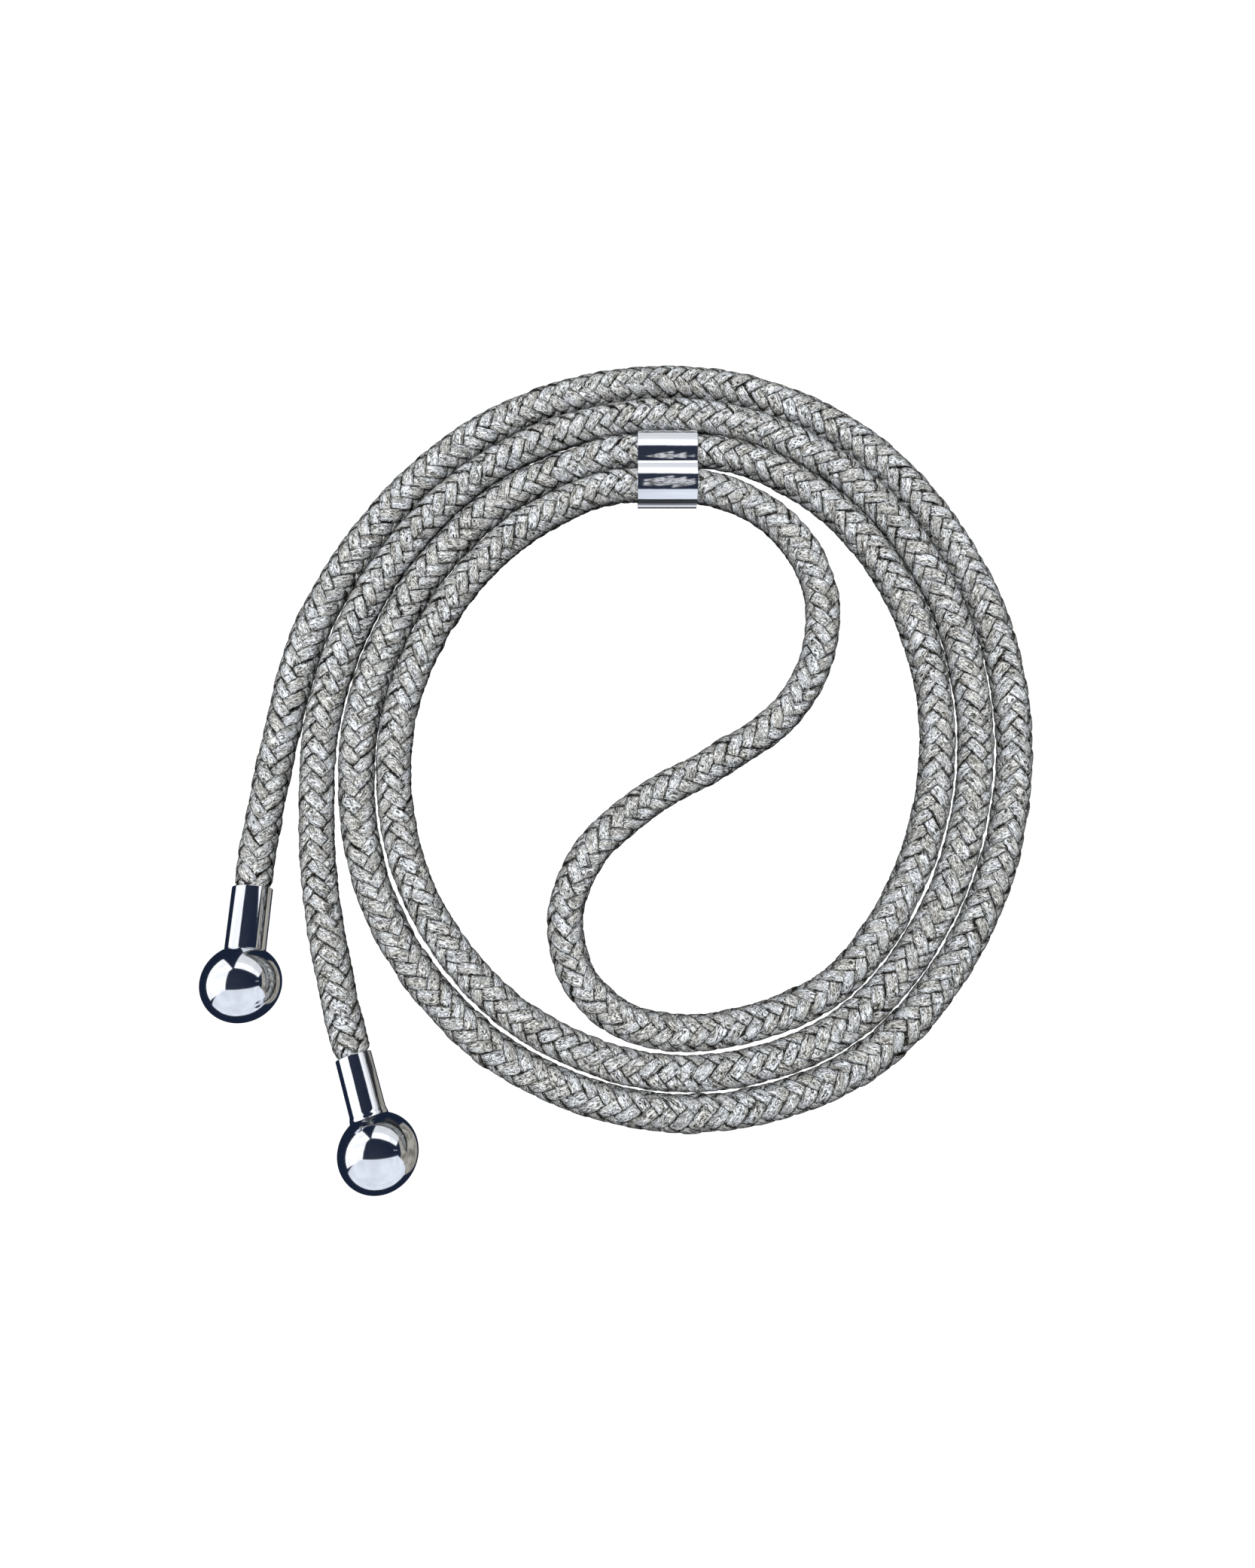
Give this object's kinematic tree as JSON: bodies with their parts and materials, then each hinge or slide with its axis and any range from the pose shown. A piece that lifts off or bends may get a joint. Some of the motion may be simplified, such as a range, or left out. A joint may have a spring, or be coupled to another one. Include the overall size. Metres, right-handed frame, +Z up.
{
  "type": "rope belt",
  "caption": "Braided rope belt with a cast double slider and turned ball ends, laid flat in side-by-side coils.",
  "frame": {"origin": "middle of the whole belt's box, on the surface that it lies on", "axes": "+Z up from the surface, +Y from the ball ends' side of the coil towards the slider, +X along the rope in the slider, from the side of the ball ends across the coil"},
  "size_m": [0.1672, 0.1712, 0.0151],
  "materials": {
    "grey_braid": "matte round braid of heathered grey yarns",
    "chrome": "polished"
  },
  "bodies": {
    "root": {"rope": "grey_braid", "slider": "chrome", "end_cap_left": "chrome", "end_cap_right": "chrome"}
  },
  "joints": []
}
